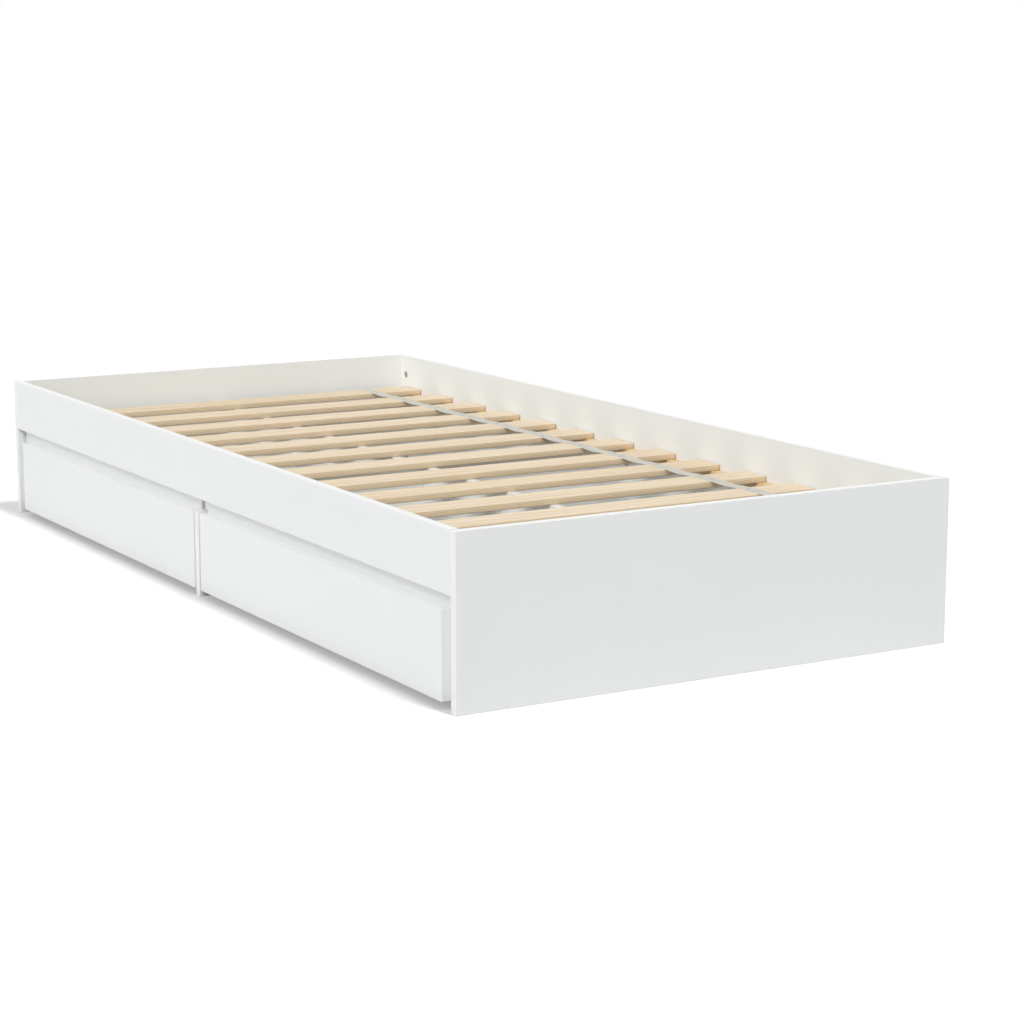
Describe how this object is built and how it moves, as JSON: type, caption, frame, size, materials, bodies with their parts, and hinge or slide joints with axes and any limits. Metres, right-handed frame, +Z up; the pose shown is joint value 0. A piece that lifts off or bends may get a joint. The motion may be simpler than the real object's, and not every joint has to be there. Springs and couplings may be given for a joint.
{
  "type": "bed frame with drawers",
  "caption": "Low white single bed frame with a slatted base and wide floor-rolling drawers under one long side.",
  "frame": {"origin": "on the floor, at the centre of the bed's footprint", "axes": "+Z up, +Y towards the head panel, +X towards the wall side; the drawers open towards -X"},
  "size_m": [0.935, 1.935, 0.282],
  "materials": {
    "white_board": "satin white melamine-faced particle board with matching edge band",
    "slat_wood": "raw birch-faced plywood, lightly sanded",
    "batten_wood": "planed raw pine",
    "dowel_wood": "fluted beech",
    "thin_panel": "white-faced thin hardboard",
    "strap_fabric": "woven off-white webbing",
    "zinc_steel": "zinc-plated",
    "cam_metal": "die-cast, matt",
    "bracket_plastic": "moulded, fine texture",
    "wheel_plastic": "moulded, smooth"
  },
  "bodies": {
    "frame": {"head_panel": "white_board", "foot_panel": "white_board", "drawer_rail": "white_board", "wall_side_panel": "white_board", "centre_divider": "white_board", "centre_board_foot": "white_board", "centre_board_head": "white_board", "slat_ledge_left": "batten_wood", "slat_ledge_right": "batten_wood", "slat_1": "slat_wood", "slat_2": "slat_wood", "slat_3": "slat_wood", "slat_4": "slat_wood", "slat_5": "slat_wood", "slat_6": "slat_wood", "slat_7": "slat_wood", "slat_8": "slat_wood", "slat_9": "slat_wood", "slat_10": "slat_wood", "slat_11": "slat_wood", "slat_12": "slat_wood", "slat_13": "slat_wood", "slat_straps": "strap_fabric", "slat_screws": "zinc_steel", "ledge_screws": "zinc_steel", "cam_locks": "cam_metal", "cam_bolts": "zinc_steel", "dowels": "dowel_wood"},
    "foot_drawer": {"foot_drawer_face": "white_board", "foot_drawer_front": "white_board", "foot_drawer_side_inner": "white_board", "foot_drawer_side_outer": "white_board", "foot_drawer_back": "white_board", "foot_drawer_bottom": "thin_panel", "foot_drawer_bottom_rail": "batten_wood", "foot_drawer_face_screws": "zinc_steel", "foot_drawer_box_screws": "zinc_steel", "foot_drawer_wheel_brackets": "bracket_plastic", "foot_drawer_bracket_screws": "zinc_steel", "foot_drawer_axles": "zinc_steel"},
    "foot_wheel_front_inner": {"foot_wheel_front_inner": "wheel_plastic"},
    "foot_wheel_front_outer": {"foot_wheel_front_outer": "wheel_plastic"},
    "foot_wheel_rear_inner": {"foot_wheel_rear_inner": "wheel_plastic"},
    "foot_wheel_rear_outer": {"foot_wheel_rear_outer": "wheel_plastic"},
    "head_drawer": {"head_drawer_face": "white_board", "head_drawer_front": "white_board", "head_drawer_side_inner": "white_board", "head_drawer_side_outer": "white_board", "head_drawer_back": "white_board", "head_drawer_bottom": "thin_panel", "head_drawer_bottom_rail": "batten_wood", "head_drawer_face_screws": "zinc_steel", "head_drawer_box_screws": "zinc_steel", "head_drawer_wheel_brackets": "bracket_plastic", "head_drawer_bracket_screws": "zinc_steel", "head_drawer_axles": "zinc_steel"},
    "head_wheel_front_inner": {"head_wheel_front_inner": "wheel_plastic"},
    "head_wheel_front_outer": {"head_wheel_front_outer": "wheel_plastic"},
    "head_wheel_rear_inner": {"head_wheel_rear_inner": "wheel_plastic"},
    "head_wheel_rear_outer": {"head_wheel_rear_outer": "wheel_plastic"}
  },
  "joints": [
    {"name": "foot_drawer_slide", "type": "slide", "parent": "frame", "child": "foot_drawer", "axis": [-1, 0, 0], "range_m": [0, 0.42]},
    {"name": "head_drawer_slide", "type": "slide", "parent": "frame", "child": "head_drawer", "axis": [-1, 0, 0], "range_m": [0, 0.42]},
    {"name": "foot_wheel_front_inner_roll", "type": "hinge", "parent": "foot_drawer", "child": "foot_wheel_front_inner", "pos_m": [-0.3715, -0.0343, 0.015], "axis": [0, -1, 0], "range_deg": [0, 1605]},
    {"name": "foot_wheel_front_outer_roll", "type": "hinge", "parent": "foot_drawer", "child": "foot_wheel_front_outer", "pos_m": [-0.3715, -0.9252, 0.015], "axis": [0, -1, 0], "range_deg": [0, 1605]},
    {"name": "foot_wheel_rear_inner_roll", "type": "hinge", "parent": "foot_drawer", "child": "foot_wheel_rear_inner", "pos_m": [-0.0843, -0.0343, 0.015], "axis": [0, -1, 0], "range_deg": [0, 1605]},
    {"name": "foot_wheel_rear_outer_roll", "type": "hinge", "parent": "foot_drawer", "child": "foot_wheel_rear_outer", "pos_m": [-0.0843, -0.9252, 0.015], "axis": [0, -1, 0], "range_deg": [0, 1605]},
    {"name": "head_wheel_front_inner_roll", "type": "hinge", "parent": "head_drawer", "child": "head_wheel_front_inner", "pos_m": [-0.3715, 0.0343, 0.015], "axis": [0, -1, 0], "range_deg": [0, 1605]},
    {"name": "head_wheel_front_outer_roll", "type": "hinge", "parent": "head_drawer", "child": "head_wheel_front_outer", "pos_m": [-0.3715, 0.9252, 0.015], "axis": [0, -1, 0], "range_deg": [0, 1605]},
    {"name": "head_wheel_rear_inner_roll", "type": "hinge", "parent": "head_drawer", "child": "head_wheel_rear_inner", "pos_m": [-0.0843, 0.0343, 0.015], "axis": [0, -1, 0], "range_deg": [0, 1605]},
    {"name": "head_wheel_rear_outer_roll", "type": "hinge", "parent": "head_drawer", "child": "head_wheel_rear_outer", "pos_m": [-0.0843, 0.9252, 0.015], "axis": [0, -1, 0], "range_deg": [0, 1605]}
  ],
  "couplings": [
    {"joint": "foot_wheel_front_inner_roll", "follows": "foot_drawer_slide", "rad_per_m": 66.667},
    {"joint": "foot_wheel_front_outer_roll", "follows": "foot_drawer_slide", "rad_per_m": 66.667},
    {"joint": "foot_wheel_rear_inner_roll", "follows": "foot_drawer_slide", "rad_per_m": 66.667},
    {"joint": "foot_wheel_rear_outer_roll", "follows": "foot_drawer_slide", "rad_per_m": 66.667},
    {"joint": "head_wheel_front_inner_roll", "follows": "head_drawer_slide", "rad_per_m": 66.667},
    {"joint": "head_wheel_front_outer_roll", "follows": "head_drawer_slide", "rad_per_m": 66.667},
    {"joint": "head_wheel_rear_inner_roll", "follows": "head_drawer_slide", "rad_per_m": 66.667},
    {"joint": "head_wheel_rear_outer_roll", "follows": "head_drawer_slide", "rad_per_m": 66.667}
  ]
}
